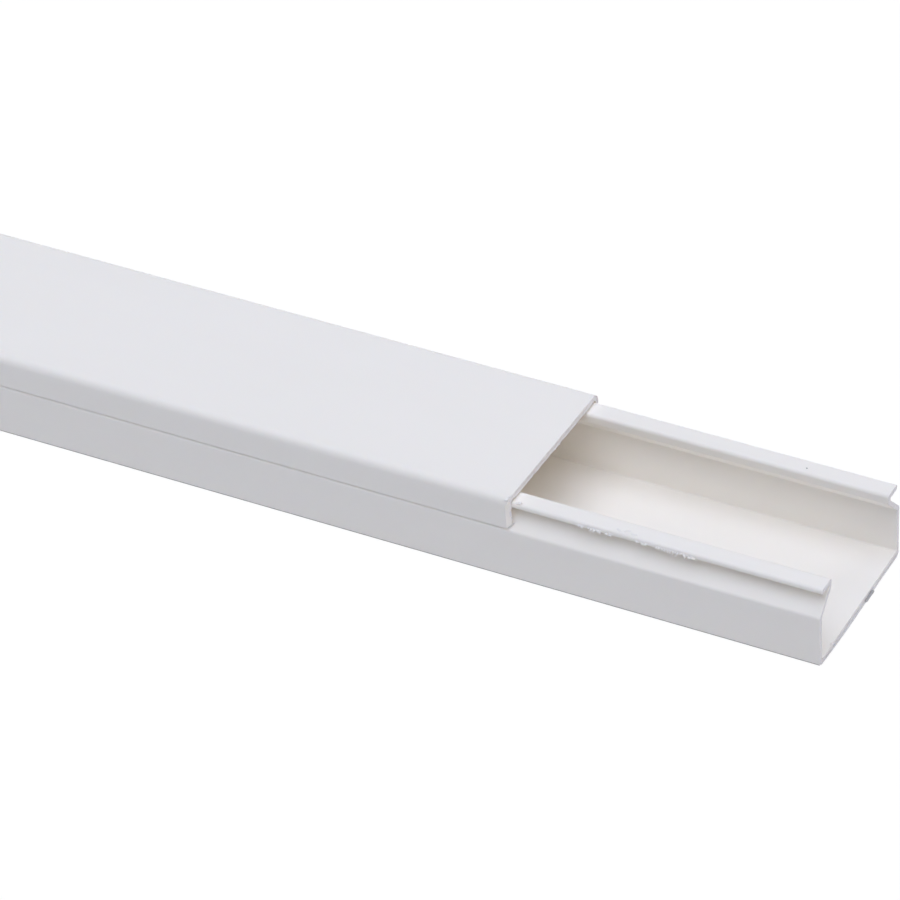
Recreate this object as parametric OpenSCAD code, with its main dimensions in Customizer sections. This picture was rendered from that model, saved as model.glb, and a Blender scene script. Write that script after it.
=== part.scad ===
// Cable trunking: a white rigid PVC base channel with a clip-on cover, as a stock length.
// Both pieces are extrusions, so each one is a section carried along X.
// X runs along the trunking, Y across it and Z up from the face that goes against the wall.
// The origin is at the middle of that face.

/* [Trunking] */
// Outside width over the side walls
trunking_w = 40; // [36:1:60]
// Outside height with the cover on
trunking_h = 20; // [16:0.5:40]
// Stock length of the base and of the cover
stock_len = 2000; // [500:10:3000]
// How far the cover is drawn back from the base's end
drawn_back = 68; // [0:1:200]

/* [Base] */
// Thickness of the floor
floor_t = 1.1; // [0.8:0.05:1.6]
// Thickness of the side walls, the cranks and the necks
wall_t = 1.1; // [0.8:0.05:1.6]
// Radius of the outer edges along the floor
floor_edge_r = 0.5; // [0.2:0.05:0.8]
// Angle of the crank from the upright
crank_angle = 45; // [40:1:55]
// How far the crank brings the wall inward
crank_in = 4.6; // [4:0.1:5]
// Thickness of the lip
lip_t = 1.2; // [0.8:0.05:1.4]

/* [Cover] */
// Thickness of the cover's plate
plate_t = 1.1; // [0.8:0.05:1.5]
// Thickness of the cover's legs
leg_t = 1.1; // [0.8:0.05:1.5]
// Height of the cover's sides, down to the fold in the base's wall
side_h = 7.9; // [7.5:0.1:9]
// Outer radius of the cover's long edges
cover_edge_r = 1.8; // [1.2:0.1:2.5]
// Inner radius of the cover's long edges
cover_inner_r = 0.7; // [0.3:0.1:1]
// How far the hook reaches in from the leg
hook_in = 1.6; // [1:0.1:2]
// Width of the flat at the leg's foot
foot_flat = 0.2; // [0.1:0.05:0.3]

/* [Fit] */
// Clearance between the cover's legs and hooks and the base
clearance = 0.15; // [0.1:0.05:0.3]
// Gap between the lip and the cover's plate
headroom = 0.5; // [0.2:0.1:0.7]

/* [Hidden] */
$fn = 96;
// Overshoot that lets a cut pass clear of the face it opens
cut_over = 1;
half_w = trunking_w / 2;

// Heights in the base's section
lip_top = trunking_h - plate_t - headroom;
lip_bottom = lip_top - lip_t;
fold_z = trunking_h - side_h;
crank_rise = crank_in / tan(crank_angle);

// A bend of the middle line lies this far below the bend of the outer face
bend_drop = wall_t / 2 * tan(crank_angle / 2);
wall_mid_y = half_w - wall_t / 2;
neck_mid_y = wall_mid_y - crank_in;
fold_mid_z = fold_z - bend_drop;
neck_mid_z = fold_mid_z + crank_rise;

// The lip's nose stands clear of the cover's leg, and the hook passes under the lip
leg_inner_y = half_w - leg_t;
lip_nose_y = leg_inner_y - clearance;
hook_y = leg_inner_y - hook_in;
hook_top = lip_bottom - clearance;

// The leg's foot is bevelled along the crank, a clearance away from it
bevel_z = fold_z + clearance / sin(crank_angle);
foot_z = bevel_z + foot_flat / tan(crank_angle);

pvc_white = [0.93, 0.93, 0.92];

// A flat strip of thickness t between the points p and q, with round ends
module strip(p, q, t) {
    along = q - p;
    translate(p)
        rotate(atan2(along.y, along.x))
            translate([0, -t / 2])
                square([norm(along), t]);
    for (end = [p, q])
        translate(end) circle(d = t);
}

// A section carried along X from the plane x_start
module extrude_along_x(x_start, len) {
    translate([x_start, 0, 0])
        rotate([90, 0, 90])
            linear_extrude(len) children();
}

// A block from height z0 up to z1, with its two upper edges rounded
module round_topped(w, z0, z1, r) {
    translate([-w / 2, z0]) square([w, z1 - r - z0]);
    translate([-w / 2 + r, z0]) square([w - 2 * r, z1 - z0]);
    for (side = [-1, 1])
        translate([side * (w / 2 - r), z1 - r]) circle(r);
}

module both_sides() {
    children();
    mirror([1, 0]) children();
}

// Side wall, cranked inward at the fold, then a short neck that turns outward in the lip
module base_side() {
    translate([half_w - floor_edge_r, floor_edge_r]) circle(floor_edge_r);
    translate([half_w - wall_t, floor_edge_r]) square([wall_t, fold_mid_z - floor_edge_r]);
    strip([wall_mid_y, fold_mid_z], [neck_mid_y, neck_mid_z], wall_t);
    strip([neck_mid_y, neck_mid_z], [neck_mid_y, lip_top - wall_t / 2], wall_t);
    translate([neck_mid_y, lip_bottom]) square([lip_nose_y - lip_t / 2 - neck_mid_y, lip_t]);
    translate([lip_nose_y - lip_t / 2, lip_top - lip_t / 2]) circle(d = lip_t);
}

module base_section() {
    floor_w = trunking_w - 2 * floor_edge_r;
    translate([-floor_w / 2, 0]) square([floor_w, floor_t]);
    both_sides() base_side();
}

// Everything below the line that follows the crank's outer face
module bevel_cut() {
    translate([half_w, bevel_z])
        rotate(crank_angle)
            translate([-side_h, -cut_over])
                square([side_h, side_h + cut_over]);
}

// Space inside the cover: the room over the hooks that takes the lips, and the mouth between the hooks
module cover_hollow() {
    mouth_z = foot_z - cut_over;
    round_topped(2 * leg_inner_y, hook_top, trunking_h - plate_t, cover_inner_r);
    translate([-hook_y, mouth_z]) square([2 * hook_y, lip_top - mouth_z]);
}

module cover_section() {
    difference() {
        round_topped(trunking_w, foot_z, trunking_h, cover_edge_r);
        cover_hollow();
        both_sides() bevel_cut();
    }
}

module base() {
    color(pvc_white) extrude_along_x(-stock_len / 2, stock_len) base_section();
}

module cover() {
    color(pvc_white) extrude_along_x(-stock_len / 2 - drawn_back, stock_len) cover_section();
}

base();
cover();
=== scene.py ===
"""A length of white PVC cable trunking: the base channel, its clip-on cover, their sawn ends and the burrs.

Lengths are metres in the part's frame: X along the trunking, Y across it, Z up from the back face.
"""

import logging
import math
from dataclasses import dataclass, field
from enum import Enum, IntEnum

import bpy
import numpy as np
from mathutils import Matrix, Vector
from numpy.typing import NDArray


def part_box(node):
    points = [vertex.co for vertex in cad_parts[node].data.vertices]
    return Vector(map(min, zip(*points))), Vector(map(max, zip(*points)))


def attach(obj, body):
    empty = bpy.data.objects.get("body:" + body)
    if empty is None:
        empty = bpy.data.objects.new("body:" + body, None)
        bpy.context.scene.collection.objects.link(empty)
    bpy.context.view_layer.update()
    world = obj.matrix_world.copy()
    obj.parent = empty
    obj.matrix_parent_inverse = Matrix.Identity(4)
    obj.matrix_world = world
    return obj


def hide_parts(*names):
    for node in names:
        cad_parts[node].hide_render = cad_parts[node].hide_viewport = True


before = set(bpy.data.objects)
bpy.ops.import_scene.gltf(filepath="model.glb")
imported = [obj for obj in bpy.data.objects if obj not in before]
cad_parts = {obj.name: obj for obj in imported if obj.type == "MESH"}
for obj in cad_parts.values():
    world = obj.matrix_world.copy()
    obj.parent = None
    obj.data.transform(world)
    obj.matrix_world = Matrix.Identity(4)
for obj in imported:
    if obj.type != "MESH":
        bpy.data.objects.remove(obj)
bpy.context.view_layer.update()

LOG = logging.getLogger("trunking")
MM = 0.001
CREASE = math.radians(32.0)
BASE = ("base", "base_pvc")
COVER = ("cover", "cover_pvc")

Node = bpy.types.Node
Array = NDArray[np.float64]
Index = NDArray[np.int64]
Triple = tuple[float, float, float]
Colour = Triple
Corners = list[Triple]


class Skin(IntEnum):
    """Material slots of an extruded piece."""

    DRAWN = 0
    SAWN = 1
    # painted shade: slot 2 holds a dark finish on the base's round bottom edges, standing in for the
    # contact shadow along the floor
    PAINTED_SHADE = 2


class End(IntEnum):
    """The two ends of a length, as the direction that each one faces along X."""

    HIDDEN = -1
    SHOWN = 1


class Gel(Enum):
    """Tints of the studio's light."""

    DAY = (0.848, 0.888, 1.0)
    WARM = (1.0, 0.873, 0.819)


def wander(along: Array, wavelength: float, seed: int) -> Array:
    """Smooth noise from -1 to 1 along a line.

    Random heights stand at equal steps, and each runs into the next by the ease curve 3t^2 - 2t^3.

    Args:
        along: Places on the line.
        wavelength: The step between two heights.
        seed: Which heights are drawn.

    Returns:
        The noise at each place.
    """
    count = 4096
    heights = np.random.default_rng(seed).uniform(-1.0, 1.0, count)
    place = along / wavelength
    left = np.floor(place).astype(int)
    ease = place - left
    ease = ease * ease * (3.0 - 2.0 * ease)
    return heights[left % count] * (1.0 - ease) + heights[(left + 1) % count] * ease


def cells(table: NDArray) -> NDArray:
    """The four corners of each cell of a table, turning from its rows' direction towards its columns'."""
    corners = [table[:-1, :-1], table[:-1, 1:], table[1:, 1:], table[1:, :-1]]
    return np.stack(corners, axis=2).reshape(-1, 4)


def unit(direction: Triple) -> Array:
    """The direction at length one."""
    return np.asarray(direction) / np.linalg.norm(direction)


class Graph:
    """A node tree, with short ways to add nodes and to join them by socket identifier."""

    def __init__(self, tree: bpy.types.NodeTree) -> None:
        """Start with an empty tree."""
        self.tree = tree
        tree.nodes.clear()

    @staticmethod
    def socket(sockets: bpy.types.bpy_prop_collection, identifier: str) -> bpy.types.NodeSocket:
        """The socket with that identifier, which is unique even where names repeat."""
        return next(item for item in sockets if item.identifier == identifier)

    def node(self, kind: str, values: dict[str, object] | None = None, **settings: object) -> Node:
        """Add a node.

        Args:
            kind: Blender's type name of the node.
            values: Constant values by input.
            **settings: Properties of the node itself.

        Returns:
            The new node.
        """
        made = self.tree.nodes.new(kind)
        for key, value in settings.items():
            setattr(made, key, value)
        for key, value in (values or {}).items():
            self.socket(made.inputs, key).default_value = value
        return made

    def join(self, source: Node, output: str, target: Node, entry: str) -> None:
        """Link an output to an input."""
        self.tree.links.new(self.socket(source.outputs, output), self.socket(target.inputs, entry))

    def noise(self, scale: Triple, turn: Triple = (0.0, 0.0, 0.0), detail: float = 2.0) -> Node:
        """Add noise on the piece's own coordinates.

        Args:
            scale: Bumps per metre along each axis.
            turn: Turn of the pattern about X, Y and Z.
            detail: Finer octaves on top.

        Returns:
            The noise node, whose output is Fac.
        """
        place = self.node("ShaderNodeTexCoord")
        stretch = self.node("ShaderNodeMapping", {"Rotation": turn, "Scale": scale})
        made = self.node("ShaderNodeTexNoise", {"Scale": 1.0, "Detail": detail, "Roughness": 0.55})
        self.join(place, "Object", stretch, "Vector")
        self.join(stretch, "Vector", made, "Vector")
        return made

    def spread(self, source: Node, low: float, high: float) -> Node:
        """Map the middle of a noise's range onto a range of values.

        Args:
            source: The noise.
            low: The value in its hollows.
            high: The value on its heights.

        Returns:
            The Map Range node, whose output is Result.
        """
        limits = {"From Min": 0.3, "From Max": 0.7, "To Min": low, "To Max": high}
        made = self.node("ShaderNodeMapRange", limits)
        self.join(source, "Fac", made, "Value")
        return made

    def tint(self, source: Node, low: Colour, high: Colour) -> Node:
        """Colour a noise.

        Args:
            source: The noise.
            low: The colour in its hollows.
            high: The colour on its heights.

        Returns:
            The Mix node, whose output is Result_Color.
        """
        made = self.node(
            "ShaderNodeMix", {"A_Color": (*low, 1.0), "B_Color": (*high, 1.0)}, data_type="RGBA"
        )
        self.join(self.spread(source, 0.0, 1.0), "Result", made, "Factor_Float")
        return made

    def relief(self, source: Node, depth: float, under: Node | None = None) -> Node:
        """Raise a noise as bump.

        Args:
            source: The noise.
            depth: Height from its hollows to its heights.
            under: Bump that it lies on.

        Returns:
            The Bump node, whose output is Normal.
        """
        made = self.node("ShaderNodeBump", {"Strength": 1.0, "Distance": depth})
        self.join(source, "Fac", made, "Height")
        if under is not None:
            self.join(under, "Normal", made, "Normal")
        return made


@dataclass(frozen=True)
class Finish:
    """What every finish of the white plastic has: two tints, a range of roughness and some depth."""

    name: str
    light: Colour = (0.953, 0.926, 0.876)
    dark: Colour = (0.945, 0.917, 0.866)
    smooth: float = 0.38
    rough: float = 0.52
    specular: float = 0.45
    depth: float = 0.1
    scatter: Triple = (1.0, 0.7, 0.45)

    def grain(self, graph: Graph) -> tuple[Node, Node, Node]:
        """The noise that tints the plastic, the noise that sets its roughness, and its relief."""
        raise NotImplementedError

    def material(self) -> bpy.types.Material:
        """Build the material: a plastic shader over the finish's grain.

        Returns:
            The finished material.
        """
        made = bpy.data.materials.new(self.name)
        made.use_nodes = True
        graph = Graph(made.node_tree)
        tone, gloss, bump = self.grain(graph)
        constants = {
            "Specular IOR Level": self.specular,
            "Subsurface Weight": self.depth,
            "Subsurface Radius": self.scatter,
            "Subsurface Scale": MM,
        }
        shader = graph.node("ShaderNodeBsdfPrincipled", constants)
        surface = graph.node("ShaderNodeOutputMaterial")
        graph.join(graph.tint(tone, self.dark, self.light), "Result_Color", shader, "Base Color")
        graph.join(graph.spread(gloss, self.smooth, self.rough), "Result", shader, "Roughness")
        graph.join(bump, "Normal", shader, "Normal")
        graph.join(shader, "BSDF", surface, "Surface")
        return made


@dataclass(frozen=True)
class DrawnFinish(Finish):
    """Skin of extruded PVC: satin white with faint die lines along its length and a fine orange peel."""

    line_scale: Triple = (3.0, 1800.0, 1800.0)
    line_depth: float = 0.004 * MM
    cloud_scale: Triple = (22.0, 70.0, 70.0)
    peel_scale: Triple = (2400.0, 2400.0, 2400.0)
    peel_depth: float = 0.006 * MM

    def grain(self, graph: Graph) -> tuple[Node, Node, Node]:
        """Die lines are noise that is long along X and tight across it.

        A cloud some centimetres wide tints the plastic, and fine noise on the lines gives the orange peel.

        Args:
            graph: The material's graph.

        Returns:
            The cloud, the lines and the relief of both noises.
        """
        lines = graph.noise(self.line_scale, detail=3.0)
        cloud = graph.noise(self.cloud_scale)
        peel = graph.noise(self.peel_scale)
        drawn = graph.relief(lines, self.line_depth)
        return cloud, lines, graph.relief(peel, self.peel_depth, drawn)


@dataclass(frozen=True)
class SawnFinish(Finish):
    """A face left by a fine saw: chalky, dull and scored by its teeth."""

    light: Colour = (0.92, 0.91, 0.915)
    dark: Colour = (0.77, 0.76, 0.765)
    smooth: float = 0.62
    rough: float = 0.85
    score_scale: Triple = (300.0, 900.0, 8000.0)
    score_turn: float = math.radians(35.0)
    score_depth: float = 0.03 * MM
    grain_scale: Triple = (5000.0, 5000.0, 5000.0)
    grain_depth: float = 0.01 * MM

    def grain(self, graph: Graph) -> tuple[Node, Node, Node]:
        """The scores are noise that is drawn out along a slanting line of the face and tight across it.

        A finer grain between them roughens the plastic.

        Args:
            graph: The material's graph.

        Returns:
            The scores, the grain and the relief of both.
        """
        scores = graph.noise(self.score_scale, turn=(self.score_turn, 0.0, 0.0), detail=3.0)
        grain = graph.noise(self.grain_scale)
        scored = graph.relief(scores, self.score_depth)
        return scores, grain, graph.relief(grain, self.grain_depth, scored)


@dataclass(frozen=True)
class TornFinish(Finish):
    """Torn and stretched plastic, whitened by the strain."""

    light: Colour = (0.97, 0.95, 0.92)
    dark: Colour = (0.91, 0.885, 0.85)
    smooth: float = 0.45
    rough: float = 0.7
    depth: float = 0.3
    strain_scale: Triple = (4000.0, 4000.0, 4000.0)
    strain_depth: float = 0.03 * MM

    def grain(self, graph: Graph) -> tuple[Node, Node, Node]:
        """Strain marks are noise a quarter of a millimetre wide, which tints, dulls and roughens the tear.

        Args:
            graph: The material's graph.

        Returns:
            The strain marks, twice, and their relief.
        """
        strain = graph.noise(self.strain_scale, detail=3.0)
        return strain, strain, graph.relief(strain, self.strain_depth)


@dataclass(frozen=True)
class Section:
    """The two faces of an extruded wall as matched points (y, z), each from the left tip to the right tip.

    The lower face is the one that lies below or outside when it is followed from left to right.
    """

    lower: Array
    upper: Array

    @staticmethod
    def bends(corners: Corners) -> tuple[Array, Array, Array, Array]:
        """Where a path's round corners begin and end.

        A corner of radius r that turns by an angle begins r * tan(angle / 2) before its point and ends as
        far after it. A corner that doesn't turn keeps r as that distance.

        Args:
            corners: The path's points as (y, z, radius), the two ends without a radius.

        Returns:
            The beginnings, the corner points, the ends and the cosines of half the turns.
        """
        table = np.asarray(corners)
        point, radius = table[:, :2], table[1:-1, 2]
        step = np.diff(point, axis=0)
        heading = step / np.linalg.norm(step, axis=1, keepdims=True)
        turn = np.arccos(np.clip(np.sum(heading[:-1] * heading[1:], axis=1), -1.0, 1.0))
        no_turn = 0.01
        reach = np.where(turn < no_turn, radius, radius * np.tan(turn / 2.0))[:, None]
        middle = point[1:-1]
        return middle - reach * heading[:-1], middle, middle + reach * heading[1:], np.cos(turn / 2.0)

    @classmethod
    def path(cls, corners: Corners, steps: Index, arc_steps: int) -> Array:
        """Points along a path of straight runs and round corners.

        A round corner is the rational quadratic curve on its beginning, its corner point and its end. The
        cosine of half the turn as the middle weight makes it a true arc.

        Args:
            corners: The path's points as (y, z, radius).
            steps: How many steps each straight run has.
            arc_steps: How many steps each corner has.

        Returns:
            The points in order.
        """
        begin, middle, end, weight = cls.bends(corners)
        t = np.linspace(0.0, 1.0, arc_steps + 1)[None, :, None]
        weight = weight[:, None, None] * 2.0 * t * (1.0 - t)
        share = (1.0 - t) ** 2 + weight + t**2
        arcs = (begin[:, None] * (1.0 - t) ** 2 + middle[:, None] * weight + end[:, None] * t**2) / share
        first, last = np.asarray(corners[0][:2]), np.asarray(corners[-1][:2])
        leave = np.vstack([first, end])
        reach = np.vstack([begin, last])
        runs = [np.linspace(a, b, n + 1) for a, b, n in zip(leave, reach, steps)]
        pieces = [runs[0][:-1]]
        for arc, run in zip(arcs, runs[1:]):
            pieces += [arc[:-1], run[:-1]]
        return np.vstack([*pieces, last])

    @classmethod
    def mirrored(cls, lower: Corners, upper: Corners, spacing: float, arc_steps: int = 8) -> "Section":
        """A section that is the same on both sides of its middle.

        Args:
            lower: The right half of the lower face, from the middle to the tip.
            upper: The right half of the upper face, with as many corners.
            spacing: The longest step along a straight run.
            arc_steps: How many steps each corner has.

        Returns:
            The whole section.
        """
        lengths = []
        for corners in (lower, upper):
            begin, _, end, _ = cls.bends(corners)
            leave = np.vstack([corners[0][:2], end])
            reach = np.vstack([begin, corners[-1][:2]])
            lengths.append(np.linalg.norm(reach - leave, axis=1))
        steps = np.maximum(1, np.ceil(np.maximum(*lengths) / spacing)).astype(int)
        halves = [cls.path(corners, steps, arc_steps) for corners in (lower, upper)]
        return cls(*[np.vstack([half[:0:-1] * (-1.0, 1.0), half]) for half in halves])

    def bands(self, count: int) -> Array:
        """Points of the wall itself, in rows from the lower face to the upper one."""
        share = np.linspace(0.0, 1.0, count + 1)[:, None, None]
        return self.lower + (self.upper - self.lower) * share

    @staticmethod
    def outline(table: NDArray) -> NDArray:
        """The border of a table of bands: lower face, right tip, upper face and left tip."""
        return np.concatenate([table[0], table[1:-1, -1], table[-1, ::-1], table[-2:0:-1, 0]])


@dataclass(frozen=True)
class Chip:
    """A broken edge: its place (y, z) on the cut, how wide it reaches and how deep it goes along X."""

    at: tuple[float, float]
    reach: float
    depth: float

    def dent(self, points: Array) -> Array:
        """The chip's depth at points (y, z): a bell curve of the distance from its place."""
        far = np.linalg.norm(points - np.asarray(self.at), axis=-1) / self.reach
        return self.depth * np.exp(-(far**2))


@dataclass(frozen=True)
class Trim:
    """An edge taken back slantwise, from nothing at one line across the section to its depth at another.

    It reaches up from the foot to a height, where it eases out.
    """

    start_y: float
    end_y: float
    below: float
    depth: float
    ease: float

    def dent(self, points: Array) -> Array:
        """The trim's depth at points (y, z)."""
        slope = np.clip((points[..., 0] - self.start_y) / (self.end_y - self.start_y), 0.0, 1.0)
        return self.depth * slope * np.clip((self.below - points[..., 1]) / self.ease, 0.0, 1.0)


@dataclass(frozen=True)
class SawCut:
    """A cut by a fine hand saw: a plane a little out of square, with ragged edges and a scored face."""

    end: End
    seed: int
    advance: float = 0.0
    skew: float = 0.0
    lean: float = 0.0
    pivot_z: float = 0.0
    chips: tuple[Chip, ...] = ()
    trims: tuple[Trim, ...] = ()
    jag: float = 0.07 * MM
    jag_mean: float = 0.5
    jag_coarse: float = 0.35
    jag_fine: float = 0.25
    tear: float = 0.7 * MM
    fineness: float = 2.7
    score: float = 0.03 * MM
    score_width: float = 0.3 * MM
    score_slant: tuple[float, float] = (0.57, 0.82)
    trimmed_share: float = 0.1
    plane_fade: float = 12.0 * MM
    chip_fade: float = 4.0 * MM
    jag_fade: float = 1.0 * MM

    def plane(self, points: Array) -> Array:
        """How far along X the cut's plane lies at points (y, z)."""
        return self.advance + self.skew * points[..., 0] + self.lean * (points[..., 1] - self.pivot_z)

    def broken(self, points: Array) -> Array:
        """How far chips and trims take the cut back at points (y, z)."""
        dents = [part.dent(points) for part in self.chips + self.trims]
        return -self.end * sum(dents, np.zeros(points.shape[:-1]))

    def skins(self, points: Array) -> Index:
        """The skin of the cut at points (y, z), as smooth as the drawn one where a knife trimmed it.

        Args:
            points: Points of the cut's face.

        Returns:
            The material slot at each point.
        """
        smooth = np.zeros(len(points), dtype=bool)
        for trim in self.trims:
            smooth |= trim.dent(points) > trim.depth * self.trimmed_share
        return np.where(smooth, Skin.DRAWN, Skin.SAWN)

    def face(self, points: Array) -> Array:
        """How far along X the cut lies at points (y, z), with its chips and trims."""
        return self.plane(points) + self.broken(points)

    def ragged(self, loop: Array) -> Array:
        """How far the saw tore the outline's edge back, as noise of two sizes along the outline.

        Args:
            loop: The closed outline.

        Returns:
            The tear at each point, along X and into the piece.
        """
        along = np.concatenate([[0.0], np.cumsum(np.linalg.norm(np.diff(loop, axis=0), axis=1))])
        coarse = self.jag_coarse * wander(along, self.tear, self.seed)
        fine = self.jag_fine * wander(along, self.tear / self.fineness, self.seed + 1)
        return -self.end * self.jag * (self.jag_mean + coarse + fine)

    def scored(self, points: Array) -> Array:
        """Relief of the sawn face: noise across a slanting line of the face."""
        return self.score * wander(points @ np.asarray(self.score_slant), self.score_width, self.seed + 2)

    def shift(self, distance: Array, loop: Array) -> Array:
        """How far each ring near the end is moved along X, fading with the distance from the end.

        Args:
            distance: Each ring's distance from the end.
            loop: The closed outline.

        Returns:
            The shift of each point of each ring.
        """
        shifts = (
            (self.plane_fade, self.plane(loop)),
            (self.chip_fade, self.broken(loop)),
            (self.jag_fade, self.ragged(loop)),
        )
        return sum(np.clip(1.0 - distance / fade, 0.0, 1.0)[:, None] ** 2 * depth for fade, depth in shifts)


@dataclass
class Piece:
    """Something that shows, with the body that it rides on and the record's slot for its finish."""

    name: str
    body: str
    slot: str
    shape: bpy.types.Object | None = field(default=None, init=False)

    def seat(self, points: Array, faces: Index, skins: Index | None = None) -> None:
        """Put a computed surface into the scene as this piece.

        Args:
            points: The surface's points.
            faces: Four point numbers for each face.
            skins: The material slot of each face.
        """
        mesh = bpy.data.meshes.new(self.name)
        mesh.vertices.add(len(points))
        mesh.vertices.foreach_set("co", points.astype(np.float32).ravel())
        mesh.loops.add(faces.size)
        mesh.loops.foreach_set("vertex_index", faces.astype(np.int32).ravel())
        mesh.polygons.add(len(faces))
        mesh.polygons.foreach_set("loop_start", np.arange(0, faces.size, 4, dtype=np.int32))
        mesh.polygons.foreach_set("use_smooth", np.ones(len(faces), dtype=bool))
        if skins is not None:
            mesh.polygons.foreach_set("material_index", skins.astype(np.int32))
        mesh.update(calc_edges=True)
        mesh.set_sharp_from_angle(angle=CREASE)
        self.shape = bpy.data.objects.new(self.name, mesh)
        bpy.context.scene.collection.objects.link(self.shape)
        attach(self.shape, self.body)

    def thicken(self, thickness: float) -> None:
        """Give a sheet its thickness, half to either side.

        Args:
            thickness: The finished sheet's thickness.
        """
        wall = self.shape.modifiers.new("wall", "SOLIDIFY")
        wall.thickness = thickness
        wall.offset = 0.0

    def dress(self, *finishes: bpy.types.Material) -> None:
        """Give the piece its materials and report it.

        Args:
            *finishes: The materials, in slot order.
        """
        for finish in finishes:
            self.shape.data.materials.append(finish)
        LOG.info("%s: %d faces, rides on %s", self.name, len(self.shape.data.polygons), self.body)


@dataclass
class Extrusion(Piece):
    """A section carried along X between two saw cuts."""

    node: str
    cuts: tuple[SawCut, SawCut]
    spacing: float = 0.5 * MM
    long_step: float = 110.0 * MM
    near_steps: tuple[float, ...] = (0.0, 0.12, 0.3, 0.6, 1.0, 1.6, 2.5, 4.0, 7.0, 12.0, 20.0, 40.0)
    cap_bands: int = 8

    def section(self) -> Section:
        """The piece's section."""
        raise NotImplementedError

    def around(self, loop: Array) -> Index:
        """The skin of the strip that starts at each point of the outline."""
        return np.full(len(loop), Skin.DRAWN)

    def build(self) -> None:
        """Carry the section along X, close its ends and let the piece stand for its node.

        Rings stand close together near each end, where the cut shifts them, and far apart between. Rows of
        points from the wall's lower face to its upper one close each end and carry the saw's scores.
        """
        bands = self.section().bands(self.cap_bands)
        loop = Section.outline(bands)
        low, high = (corner.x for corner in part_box(self.node))
        near = np.asarray(self.near_steps) * MM
        reach = near[-1]
        inner = np.arange(low + reach + self.long_step, high - reach - self.long_step / 2.0, self.long_step)
        rings = np.concatenate([low + near, inner, high - near[::-1]])
        along = np.repeat(rings[:, None], len(loop), axis=1)
        for cut, distance in zip(self.cuts, (rings - low, high - rings)):
            along += cut.shift(distance, loop)
        around = np.broadcast_to(loop, (len(rings), *loop.shape))
        points = [np.concatenate([along[..., None], around], axis=2).reshape(-1, 3)]
        numbers = np.arange(along.size).reshape(along.shape)
        faces = [cells(np.hstack([numbers, numbers[:, :1]]))]
        skins = [np.tile(self.around(loop), len(rings) - 1)]
        for cut, ring in zip(self.cuts, (0, -1)):
            face, table = self.cap(bands, cut, along[ring], numbers[ring], sum(map(len, points)))
            points.append(face)
            turn = slice(None, None, int(cut.end))
            faces.append(cells(table[:, turn]))
            skins.append(cut.skins(bands[:, turn][:-1, :-1].reshape(-1, 2)))
        self.seat(np.vstack(points), np.vstack(faces), np.concatenate(skins))
        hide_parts(self.node)

    def cap(self, bands: Array, cut: SawCut, edge: Array, ring: Index, first: int) -> tuple[Array, Index]:
        """Rows of points that close one end.

        A new point's X is the cut's face and scores, plus what the saw tore off the two edges, blended from
        the lower one to the upper one. The border of the table is the end's ring.

        Args:
            bands: Points of the wall, from its lower face to its upper one.
            cut: The end's cut.
            edge: X of each point of the end's ring.
            ring: Numbers of the ring's points.
            first: Number of the next new point.

        Returns:
            The new points, and the table of point numbers from the lower face to the upper one.
        """
        share = np.linspace(0.0, 1.0, self.cap_bands + 1)[1:-1, None]
        flat = bands[1:-1, 1:-1]
        rim = edge - cut.face(Section.outline(bands))
        count = bands.shape[1]
        back = slice(count + self.cap_bands - 1, 2 * count + self.cap_bands - 1)
        between = rim[1 : count - 1] * (1.0 - share) + rim[back][-2:0:-1] * share
        x = between + cut.face(flat) + cut.scored(flat)
        face = np.concatenate([x[..., None], flat], axis=2).reshape(-1, 3)
        table = np.empty(bands.shape[:2], dtype=int)
        table[0] = ring[:count]
        table[1:-1, -1] = ring[count : back.start]
        table[-1] = ring[back][::-1]
        table[1:-1, 0] = ring[back.stop :][::-1]
        table[1:-1, 1:-1] = first + np.arange(len(face)).reshape(flat.shape[:2])
        return face, table


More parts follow.
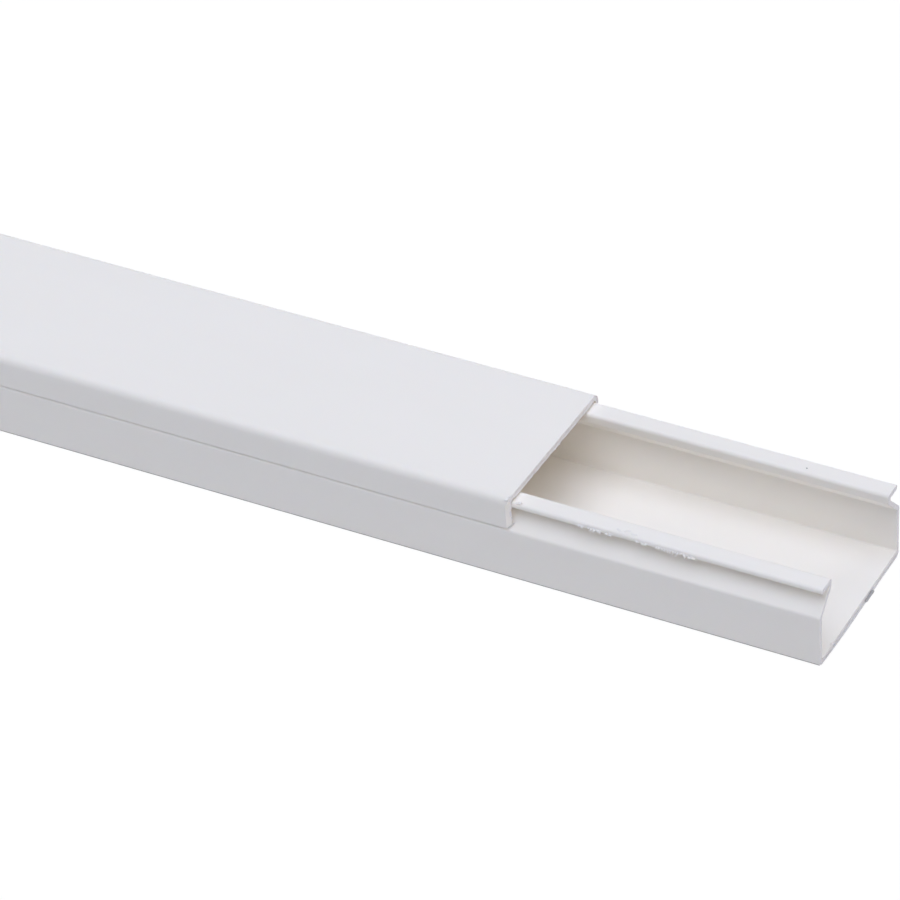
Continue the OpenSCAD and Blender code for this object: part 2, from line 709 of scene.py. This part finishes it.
@dataclass
class BaseChannel(Extrusion):
    """The base: a floor and two walls, each cranked inward to a neck that turns outward in a lip."""

    floor: float = 1.1 * MM
    wall: float = 1.1 * MM
    lip: float = 1.2 * MM
    fold_z: float = 11.94 * MM
    inner_fold_z: float = 11.64 * MM
    crank_in: float = 4.6 * MM
    nose_gap: float = 1.2 * MM
    bottom_r: float = 0.42 * MM
    fold_r: float = 1.0 * MM
    neck_r: float = 0.3 * MM
    under_r: float = 0.2 * MM
    floor_r: float = 0.3 * MM
    inner_fold_r: float = 0.3 * MM
    inner_neck_r: float = 0.5 * MM
    lip_r: float = 0.8 * MM
    nose_under_r: float = 0.3 * MM
    nose_top_r: float = 0.65 * MM
    tip_gap: float = 0.05 * MM

    def section(self) -> Section:
        """Outer and inner face of the right half, from the floor's middle to the lip's nose, mirrored.

        Returns:
            The whole section.
        """
        side, lip_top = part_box(self.node)[1].yz
        inside = side - self.wall
        neck = side - self.crank_in
        neck_inside = neck - self.wall
        nose = side - self.nose_gap
        under = lip_top - self.lip
        tip = under + self.nose_under_r
        lower = [
            (0.0, 0.0, 0.0),
            (side, 0.0, self.bottom_r),
            (side, self.fold_z, self.fold_r),
            (neck, self.fold_z + self.crank_in, self.neck_r),
            (neck, under, self.under_r),
            (nose, under, self.nose_under_r),
            (nose, tip + self.tip_gap, 0.0),
        ]
        upper = [
            (0.0, self.floor, 0.0),
            (inside, self.floor, self.floor_r),
            (inside, self.inner_fold_z, self.inner_fold_r),
            (neck_inside, self.inner_fold_z + self.crank_in, self.inner_neck_r),
            (neck_inside, lip_top, self.lip_r),
            (nose, lip_top, self.nose_top_r),
            (nose, tip + 2.0 * self.tip_gap, 0.0),
        ]
        return Section.mirrored(lower, upper, self.spacing)

    def around(self, loop: Array) -> Index:
        """The drawn skin, with painted shade on the round bottom edges: a dark finish standing in for the
        contact shadow.

        Args:
            loop: The closed outline.

        Returns:
            The skin of the strip that starts at each point.
        """
        across, height = ((loop + np.roll(loop, -1, axis=0)) / 2.0).T
        corner = np.abs(across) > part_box(self.node)[1].y - self.bottom_r
        # painted shade: the strips on the bottom corners get the dark finish where the base meets the floor
        return np.where(corner & (height < self.bottom_r), Skin.PAINTED_SHADE, Skin.DRAWN)


@dataclass
class Cover(Extrusion):
    """The cover: a plate with round edges and two legs, each with a hook inside and a bevelled foot."""

    plate: float = 1.1 * MM
    leg: float = 1.1 * MM
    edge_r: float = 1.8 * MM
    inner_r: float = 0.7 * MM
    hook_in: float = 1.6 * MM
    hook_drop: float = 2.95 * MM
    hook_root_r: float = 0.15 * MM
    hook_r: float = 0.25 * MM
    hook_foot_r: float = 0.3 * MM
    foot_flat: float = 0.1 * MM
    foot_drop: float = 0.06 * MM
    foot_r: float = 0.05 * MM
    foot_end: float = 0.06 * MM
    heel_r: float = 0.03 * MM
    heel_end: float = 0.015 * MM
    leg_stops: int = 3
    leg_stop: float = 0.3 * MM
    leg_stop_low: float = 3.0 * MM

    def section(self) -> Section:
        """Inner and outer face of the right half, from the plate's middle to the leg's foot, mirrored.

        The leg's outer face has stops without a turn, so that it has as many corners as the inner one.

        Returns:
            The whole section.
        """
        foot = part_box(self.node)[0].z - self.foot_drop
        side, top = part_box(self.node)[1].yz
        inside = side - self.leg
        under = top - self.plate
        hook = inside - self.hook_in
        hook_top = top - self.hook_drop
        heel = side - self.foot_flat
        lower = [
            (0.0, under, 0.0),
            (inside, under, self.inner_r),
            (inside, hook_top, self.hook_root_r),
            (hook, hook_top, self.hook_r),
            (hook, foot + heel - hook, self.hook_foot_r),
            (heel, foot, self.heel_r),
            (heel + self.heel_end, foot, 0.0),
        ]
        stops = np.linspace(hook_top, foot + self.leg_stop_low, self.leg_stops)
        upper = [
            (0.0, top, 0.0),
            (side, top, self.edge_r),
            *[(side, z, self.leg_stop) for z in stops],
            (side, foot, self.foot_r),
            (side - self.foot_end, foot, 0.0),
        ]
        return Section.mirrored(lower, upper, self.spacing)


@dataclass(frozen=True)
class Tuft:
    """A hump of torn skin, in millimetres: its place along the edge, its half width and its height."""

    at: float
    half_width: float
    height: float


@dataclass
class Fringe(Piece):
    """Torn skin along an edge, which grows out of it in a low ragged line with tufts."""

    start: Triple
    run: Triple
    length: float
    out: Triple
    curl: Triple
    seed: int
    ground: float = 0.0
    tufts: tuple[Tuft, ...] = ()
    waver: float = 0.3
    torn: float = 0.55
    bend: float = 0.5
    sway: float = 0.5
    hair: float = 0.2 * MM
    fade_hairs: float = 5.0
    waver_hairs: float = 9.0
    sway_hairs: float = 3.0
    root: float = 0.12 * MM
    step: float = 0.05 * MM
    rows: int = 6
    thickness: float = 0.07 * MM

    def build(self) -> None:
        """A ribbon on a grid: u along the edge and v from its root to its torn rim.

        Its height at u is the wavering ground or the highest tuft, each a raised cosine, and noise of a
        hair's width tears a share of it away. A point is the edge at u, less the root, plus v times the
        height outwards, plus v squared times a share of it along the curl. The hairs sway along the edge.
        """
        u = np.arange(0.0, self.length + self.step, self.step)
        v = np.linspace(0.0, 1.0, self.rows)[:, None]
        fade = np.clip(np.minimum(u, self.length - u) / (self.fade_hairs * self.hair), 0.0, 1.0)
        waver = self.waver * wander(u, self.waver_hairs * self.hair, self.seed + 2)
        height = self.ground * fade * (1.0 + waver)
        for tuft in self.tufts:
            near = np.clip((u / MM - tuft.at) / tuft.half_width, -1.0, 1.0)
            height = np.maximum(height, MM * tuft.height * (0.5 + 0.5 * np.cos(near * math.pi)))
        height = height * (1.0 - self.torn * np.abs(wander(u, self.hair, self.seed)))
        sway = wander(u, self.sway_hairs * self.hair, self.seed + 1) * height * self.sway
        out, curl, run = unit(self.out), unit(self.curl), unit(self.run)
        grow = v * (height + self.root) - self.root
        points = (
            np.asarray(self.start)
            + run * (u + v**2 * sway)[..., None]
            + out * grow[..., None]
            + curl * (v**2 * height * self.bend)[..., None]
        )
        self.seat(points.reshape(-1, 3), cells(np.arange(points.size // 3).reshape(self.rows, -1)))
        self.thicken(self.thickness)


@dataclass(frozen=True)
class Leaf:
    """A flake of torn skin, in millimetres from a corner of its piece.

    It has a middle, two half axes, a curl that takes its tips away from them, and ends that are the more
    blunt the higher the power of their outline.
    """

    at: Triple
    along: Triple
    across: Triple
    curl: float
    blunt: float = 2.0


@dataclass
class Flakes(Piece):
    """Loose flakes that hang on to a surface."""

    origin: Triple
    leaves: tuple[Leaf, ...]
    seed: int
    ragged: float = 0.35
    side_waves: float = 3.0
    side_stride: float = 11.0
    leaf_stride: float = 29.0
    tip: float = 0.05
    columns: int = 25
    rows: int = 9
    thickness: float = 0.07 * MM

    def column(self, key: str) -> Array:
        """One value of every flake, in a row for each flake."""
        return np.array([getattr(leaf, key) for leaf in self.leaves])

    def build(self) -> None:
        """All the flakes on one grid each: u along the flake and v across it, both from -1 to 1.

        A point is the middle plus u times the long half axis, plus v times the short one drawn in as the
        root of 1 less a power of u, with ragged sides and a little width left at the tips, plus the curl
        times u^2 + v^2 / 2 square to both axes. Each side of each flake has its own stretch of the noise.
        """
        middle, along, across = (self.column(key)[:, None, None] for key in ("at", "along", "across"))
        curl, blunt = (self.column(key)[:, None, None, None] for key in ("curl", "blunt"))
        square = np.cross(along, across)
        lift = curl * square / np.linalg.norm(square, axis=-1, keepdims=True)
        u = np.linspace(-1.0, 1.0, self.columns)[None, None, :, None]
        v = np.linspace(-1.0, 1.0, self.rows)[None, :, None, None]
        count = np.arange(len(self.leaves))[:, None, None, None]
        place = u * self.side_waves + np.sign(v) * self.side_stride + count * self.leaf_stride
        sides = 1.0 + self.ragged * wander(place, 1.0, self.seed)
        sides = sides * np.sqrt(1.0 + self.tip - np.abs(u) ** blunt)
        points = middle + along * u + across * v * sides + lift * (u**2 + v**2 / 2.0)
        points = np.asarray(self.origin) + MM * points
        numbers = np.arange(points.size // 3).reshape(len(self.leaves), self.rows, self.columns)
        self.seat(points.reshape(-1, 3), np.vstack([cells(sheet) for sheet in numbers]))
        self.thicken(self.thickness)


@dataclass(frozen=True)
class SoftBox:
    """A large soft lamp far away: its light square on, its tilt and spread in degrees, and its tint."""

    name: str
    light: float
    tilt: Triple
    spread: float
    gel: Gel = Gel.DAY

    def hang(self) -> None:
        """Hang the lamp, tilted from straight overhead."""
        lamp = bpy.data.lights.new(self.name, "SUN")
        lamp.energy = self.light
        lamp.color = self.gel.value
        lamp.angle = math.radians(self.spread)
        hung = bpy.data.objects.new(self.name, lamp)
        hung.rotation_euler = [math.radians(turn) for turn in self.tilt]
        bpy.context.scene.collection.objects.link(hung)


@dataclass(frozen=True)
class Studio:
    """A pale floor under soft boxes, with a white background."""

    boxes: tuple[SoftBox, ...] = (
        SoftBox("overhead_box", 0.605, (0.0, 3.0, 0.0), 70.0),
        SoftBox("front_box", 1.77, (20.0, 3.0, 0.0), 60.0),
        SoftBox("back_box", 0.547, (-50.0, 0.0, 0.0), 40.0),
        SoftBox("end_box", 0.8, (0.0, 72.0, 0.0), 60.0, Gel.WARM),
    )
    floor_tone: Colour = (0.85, 0.85, 0.85)
    floor_glow: float = 0.86
    floor_white: float = 1.06
    floor_half: float = 6.0
    floor_drop: float = 0.05 * MM
    white_bounces: int = 12

    def build(self) -> None:
        """Set the floor, the backdrop and the lamps, and let light bounce often between white walls."""
        self.lay_floor()
        self.hang_backdrop()
        for box in self.boxes:
            box.hang()
        bpy.context.scene.cycles.diffuse_bounces = self.white_bounces

    @staticmethod
    def seen_directly(graph: Graph) -> Node:
        """A value of one for rays from the camera and for reflected and refracted ones.

        Args:
            graph: The graph that it is added to.

        Returns:
            The node, whose output is Value.
        """
        path = graph.node("ShaderNodeLightPath")
        first = graph.node("ShaderNodeMath", operation="MAXIMUM")
        both = graph.node("ShaderNodeMath", operation="MAXIMUM")
        graph.join(path, "Is Camera Ray", first, "Value")
        graph.join(path, "Is Glossy Ray", first, "Value_001")
        graph.join(first, "Value", both, "Value")
        graph.join(path, "Is Transmission Ray", both, "Value_001")
        return both

    def lay_floor(self) -> None:
        """Lay a square floor just under the trunking, white to the eye but with the object's shadow."""
        half = self.floor_half
        mesh = bpy.data.meshes.new("floor")
        spots = ((-half, -half), (half, -half), (half, half), (-half, half))
        mesh.from_pydata([(*spot, -self.floor_drop) for spot in spots], [], [(0, 1, 2, 3)])
        paper = bpy.data.materials.new("paper")
        paper.use_nodes = True
        graph = Graph(paper.node_tree)
        matt = graph.node("ShaderNodeBsdfDiffuse", {"Color": (*self.floor_tone, 1.0)})
        glow = graph.node("ShaderNodeEmission", {"Strength": self.floor_white})
        blend = graph.node("ShaderNodeMixShader")
        share = graph.node("ShaderNodeMath", {"Value_001": self.floor_glow}, operation="MULTIPLY")
        surface = graph.node("ShaderNodeOutputMaterial")
        graph.join(self.seen_directly(graph), "Value", share, "Value")
        graph.join(share, "Value", blend, "Fac")
        graph.join(matt, "BSDF", blend, "Shader")
        graph.join(glow, "Emission", blend, "Shader_001")
        graph.join(blend, "Shader", surface, "Surface")
        mesh.materials.append(paper)
        floor = bpy.data.objects.new("floor", mesh)
        bpy.context.scene.collection.objects.link(floor)

    def hang_backdrop(self) -> None:
        """Show plain white behind the scene, which gives no light of its own."""
        world = bpy.data.worlds.new("studio")
        world.use_nodes = True
        bpy.context.scene.world = world
        graph = Graph(world.node_tree)
        white = graph.node("ShaderNodeBackground", {"Color": (1.0, 1.0, 1.0, 1.0)})
        output = graph.node("ShaderNodeOutputWorld")
        graph.join(self.seen_directly(graph), "Value", white, "Strength")
        graph.join(white, "Background", output, "Surface")


@dataclass(frozen=True)
class Viewpoint:
    """The photograph's camera, placed from the middle of the base's shown end."""

    azimuth: float = math.radians(28.3778)
    elevation: float = math.radians(37.1623)
    roll: float = math.radians(-2.4971)
    distance: float = 1144.53 * MM
    across: float = 82.21 * MM
    up: float = -31.85 * MM
    lens: float = 228.28
    sensor: float = 36.0

    def build(self) -> None:
        """Stand the camera so that it looks back along the azimuth and elevation, rolled about its axis.

        The view's right and up directions follow from both angles and turn by the roll. From the end of the
        base the camera goes back by the distance, and across and up so that the end lies off centre.
        """
        turn, rise = self.azimuth, self.elevation
        back = Vector((math.sin(turn) * math.cos(rise), -math.cos(turn) * math.cos(rise), math.sin(rise)))
        level = Vector((math.cos(turn), math.sin(turn), 0.0))
        plumb = back.cross(level)
        right = level * math.cos(self.roll) + plumb * math.sin(self.roll)
        upward = plumb * math.cos(self.roll) - level * math.sin(self.roll)
        end = Vector((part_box("base")[1].x, 0.0, 0.0))
        place = end - right * self.across - upward * self.up + back * self.distance
        lens = bpy.data.cameras.new("camera")
        lens.lens = self.lens
        lens.sensor_width = self.sensor
        camera = bpy.data.objects.new("camera", lens)
        turned = Matrix((right, upward, back)).transposed().to_4x4()
        camera.matrix_world = Matrix.Translation(place) @ turned
        bpy.context.scene.collection.objects.link(camera)
        bpy.context.scene.camera = camera


@dataclass(frozen=True)
class BaseDamage:
    """The base's sawn end and burrs: torn skin on the near lip, flakes, and a burr on the floor's end whose
    darker finish is painted shade.

    The flakes' places are in millimetres from the middle of that end.
    """

    saw_advance: float = -0.05 * MM
    saw_skew: float = -0.006
    lip_y: float = -18.64 * MM
    lip_z: float = 17.95 * MM
    lip_from: float = -54.5 * MM
    lip_length: float = 27.5 * MM
    lip_tufts: tuple[Tuft, ...] = (
        Tuft(1.5, 0.6, 1.1),
        Tuft(2.2, 0.55, 1.15),
        Tuft(3.6, 0.5, 0.95),
        Tuft(4.4, 0.4, 1.3),
        Tuft(4.9, 0.36, 1.45),
        Tuft(5.4, 0.36, 1.3),
        Tuft(5.9, 0.4, 1.1),
        Tuft(8.5, 0.9, 0.9),
        Tuft(14.2, 0.9, 0.85),
        Tuft(15.4, 0.6, 0.9),
        Tuft(16.3, 0.4, 1.1),
        Tuft(18.6, 0.5, 1.05),
        Tuft(19.2, 0.45, 1.1),
        Tuft(19.8, 0.45, 1.0),
        Tuft(20.4, 0.45, 1.15),
        Tuft(21.0, 0.45, 1.2),
        Tuft(21.6, 0.4, 1.15),
        Tuft(22.3, 0.26, 1.65),
        Tuft(22.85, 0.22, 1.1),
        Tuft(23.4, 0.26, 1.7),
        Tuft(23.95, 0.22, 1.1),
        Tuft(24.5, 0.26, 1.65),
        Tuft(25.1, 0.26, 1.2),
        Tuft(26.2, 0.6, 0.9),
    )
    floor_burr: float = 0.14 * MM
    floor_burr_in: float = 0.05 * MM
    floor_burr_z: float = 0.16 * MM
    floor_burr_half: float = 19.4 * MM
    floor_tufts: tuple[Tuft, ...] = (Tuft(13.0, 30.0, 0.32),)
    lip_leaves: tuple[Leaf, ...] = (
        Leaf((-47.0, -19.0, 17.5), (0.25, 0.0, 0.0), (0.0, -0.2, -0.06), 0.06),
        Leaf((-46.1, -19.05, 17.42), (0.42, 0.0, -0.03), (0.0, -0.22, -0.06), 0.06),
        Leaf((-28.2, -19.05, 17.45), (0.85, 0.0, 0.0), (0.0, -0.28, -0.06), 0.08, 4.0),
        Leaf((-44.6, -17.9, 18.4), (0.5, -0.2, 0.0), (0.1, 0.16, 0.05), 0.1),
        Leaf((-42.9, -17.5, 18.4), (0.6, 0.25, 0.0), (-0.06, 0.14, 0.06), 0.12),
        Leaf((-41.2, -18.0, 18.4), (0.7, 0.0, 0.0), (0.0, 0.18, 0.05), 0.1),
        Leaf((-66.6, -18.3, 18.42), (0.6, 0.1, 0.1), (0.05, 0.25, 0.12), 0.25),
        Leaf((-61.2, 18.6, 11.85), (0.5, 0.0, 0.1), (0.0, -0.12, 0.15), 0.1),
        Leaf((-0.1, -14.0, 1.35), (0.0, 0.1, 0.45), (0.0, 0.4, 0.0), 0.05),
    )
    # painted shade: the first leaf, the scrap under the floor's end, is dark because it stands in shadow;
    # the second is a dark speck on the far lip
    shade_and_speck_leaves: tuple[Leaf, ...] = (
        Leaf((0.2, 4.35, 0.22), (0.0, 2.1, 0.0), (-0.3, 0.0, 0.06), -0.06, 12.0),
        Leaf((-18.8, 16.0, 18.42), (0.16, 0.0, 0.0), (0.0, 0.12, 0.0), 0.05),
    )

    def cut(self) -> SawCut:
        """The base's shown end."""
        return SawCut(End.SHOWN, seed=21, advance=self.saw_advance, skew=self.saw_skew)

    def torn(self) -> tuple[Piece, Piece]:
        """The white burrs.

        Returns:
            The near lip's torn skin and the flakes on the lips.
        """
        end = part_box("base")[1].x
        skin = Fringe(
            "lip_burr",
            *BASE,
            start=(end + self.lip_from, self.lip_y, self.lip_z),
            run=(1.0, 0.0, 0.0),
            length=self.lip_length,
            out=(0.0, -0.6, -0.8),
            curl=(0.0, -0.6, 0.8),
            seed=51,
            tufts=self.lip_tufts,
            torn=0.4,
            bend=0.2,
        )
        return skin, Flakes("lip_flakes", *BASE, (end, 0.0, 0.0), self.lip_leaves, seed=61)

    def painted_shade_grey(self) -> Piece:
        """A rough burr along the bottom of the floor's end, in a darker finish that is painted shade for
        the shadow line there.

        Returns:
            The rough line.
        """
        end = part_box("base")[1].x
        return Fringe(
            "floor_end_burr",
            *BASE,
            start=(end - self.floor_burr_in, -self.floor_burr_half, self.floor_burr_z),
            run=(0.0, 1.0, 0.0),
            length=2.0 * self.floor_burr_half,
            out=(1.0, 0.0, -0.1),
            curl=(0.3, 0.0, -0.1),
            seed=71,
            ground=self.floor_burr,
            tufts=self.floor_tufts,
            waver=0.1,
            torn=0.1,
        )

    def shade_and_speck(self) -> Piece:
        """The scrap that hangs on to the floor's end, dark as painted shade, and a dark speck on the far
        lip.
        """
        middle = (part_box("base")[1].x, 0.0, 0.0)
        return Flakes("floor_end_scrap", *BASE, middle, self.shade_and_speck_leaves, seed=83, ragged=0.12)


@dataclass(frozen=True)
class CoverDamage:
    """The cover's sawn end: its chipped corner and trimmed near leg, torn skin under the plate and flakes.

    The chip and the trims are measured in and down from the near upper corner of that end. The flakes'
    places are in millimetres from the same corner.
    """

    saw_advance: float = 0.156 * MM
    saw_skew: float = 0.017
    saw_lean: float = -0.05
    chip_in: float = 0.4 * MM
    chip_reach: float = 0.8 * MM
    chip_depth: float = 0.35 * MM
    leg_in: float = 1.1 * MM
    leg_down: float = 0.8 * MM
    leg_trim: float = 0.95 * MM
    leg_ease: float = 1.2 * MM
    hook_from: float = 1.15 * MM
    hook_in: float = 1.6 * MM
    hook_down: float = 2.7 * MM
    hook_trim: float = 1.4 * MM
    hook_ease: float = 0.2 * MM
    burr: float = 0.18 * MM
    burr_in: float = 0.05 * MM
    burr_half: float = 18.0 * MM
    plate: float = 1.1 * MM
    tufts: tuple[Tuft, ...] = (
        Tuft(15.2, 0.5, 0.3),
        Tuft(18.3, 0.6, 0.36),
        Tuft(20.4, 0.7, 0.36),
    )
    corner_leaves: tuple[Leaf, ...] = (
        Leaf((-0.55, 0.62, -0.3), (0.35, 0.4, 0.3), (-0.15, 0.12, 0.06), 0.2),
        Leaf((-0.2, 0.75, -0.25), (0.25, 0.4, 0.3), (-0.12, 0.1, 0.05), 0.2),
        Leaf((-1.2, 0.3, -0.75), (0.3, 0.2, 0.35), (0.2, -0.05, 0.0), 0.15),
    )
    # painted shade: this flake fills the shadowed gap at the foot of the trimmed leg, in the darker finish
    foot_leaf: Leaf = Leaf((-0.195, 0.745, -7.0), (0.5, 0.36, 0.12), (0.195, 0.355, 0.41), 0.03, 4.0)

    def cut(self) -> SawCut:
        """The cover's shown end.

        Returns:
            The cut, with its chip and with the near leg and its hook trimmed back.
        """
        _, side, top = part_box("cover")[1]
        chip = Chip((self.chip_in - side, top - self.chip_in), self.chip_reach, self.chip_depth)
        leg = Trim(self.leg_in - side, -side, top - self.leg_down, self.leg_trim, self.leg_ease)
        hook_edges = (self.hook_from - side, self.hook_in - side)
        hook = Trim(*hook_edges, top - self.hook_down, self.hook_trim, self.hook_ease)
        return SawCut(
            End.SHOWN,
            seed=41,
            advance=self.saw_advance,
            skew=self.saw_skew,
            lean=self.saw_lean,
            pivot_z=top,
            chips=(chip,),
            trims=(leg, hook),
        )

    def torn(self) -> tuple[Piece, Piece]:
        """The cover's burrs, placed on its cut.

        Returns:
            The torn skin under the plate and the flakes at the corner.
        """
        cut = self.cut()
        end, side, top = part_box("cover")[1]
        under = top - self.plate
        left = np.array([-self.burr_half, under])
        edge = end + float(cut.plane(left))
        skin = Fringe(
            "cover_burr",
            *COVER,
            start=(edge - self.burr_in, -self.burr_half, under + self.burr_in),
            run=(cut.skew, 1.0, 0.0),
            length=2.0 * self.burr_half,
            out=(0.25, 0.0, -0.97),
            curl=(0.6, 0.0, 0.3),
            seed=91,
            ground=self.burr,
            tufts=self.tufts,
            torn=0.35,
        )
        return skin, Flakes("cover_corner_flakes", *COVER, (end, -side, top), self.corner_leaves, seed=101)

    def painted_shade_grey(self) -> Piece:
        """The flake at the foot of the near leg's trimmed end, in a darker finish that is painted shade.

        Returns:
            The flake.
        """
        end, side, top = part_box("cover")[1]
        corner = (end, -side, top)
        return Flakes("cover_foot_flake", *COVER, corner, (self.foot_leaf,), seed=111, ragged=0.12)


def main() -> None:
    """Build the trunking, dress it and set the studio."""
    logging.basicConfig(level=logging.INFO, format="%(message)s")
    bpy.context.scene.view_settings.view_transform = "Standard"
    drawn = DrawnFinish("drawn_pvc").material()
    sawn = SawnFinish("sawn_pvc").material()
    torn = TornFinish("torn_pvc").material()
    # painted shade: darker torn finish for the burr along the floor's end and the flake at the cover's
    # foot, which stand in shadow
    painted_shade_grey = TornFinish("painted_shade_grey_pvc", light=(0.74, 0.725, 0.70), dark=(0.62, 0.605, 0.585)).material()
    # painted shade: dark finish for the base's bottom edges and the scrap under the floor's end, and for
    # the speck on the far lip
    shade_and_speck = TornFinish("shade_and_speck_pvc", light=(0.44, 0.43, 0.425), dark=(0.34, 0.33, 0.33)).material()
    base_damage = BaseDamage()
    cover_damage = CoverDamage()
    base_cuts = (SawCut(End.HIDDEN, seed=11), base_damage.cut())
    cover_cuts = (SawCut(End.HIDDEN, seed=31), cover_damage.cut())
    base = BaseChannel("base_channel", *BASE, "base", base_cuts)
    cover = Cover("cover_strip", *COVER, "cover", cover_cuts)
    for piece, skins in ((base, (drawn, sawn, shade_and_speck)), (cover, (drawn, sawn))):
        piece.build()
        piece.dress(*skins)
    lip_burr, lip_flakes = base_damage.torn()
    cover_burr, cover_flakes = cover_damage.torn()
    damage = (
        (lip_burr, torn),
        (lip_flakes, torn),
        (cover_burr, sawn),
        (cover_flakes, torn),
        (cover_damage.painted_shade_grey(), painted_shade_grey),
        (base_damage.painted_shade_grey(), painted_shade_grey),
        (base_damage.shade_and_speck(), shade_and_speck),
    )
    for piece, finish in damage:
        piece.build()
        piece.dress(finish)
    Studio().build()
    Viewpoint().build()


if __name__ == "__main__":
    main()
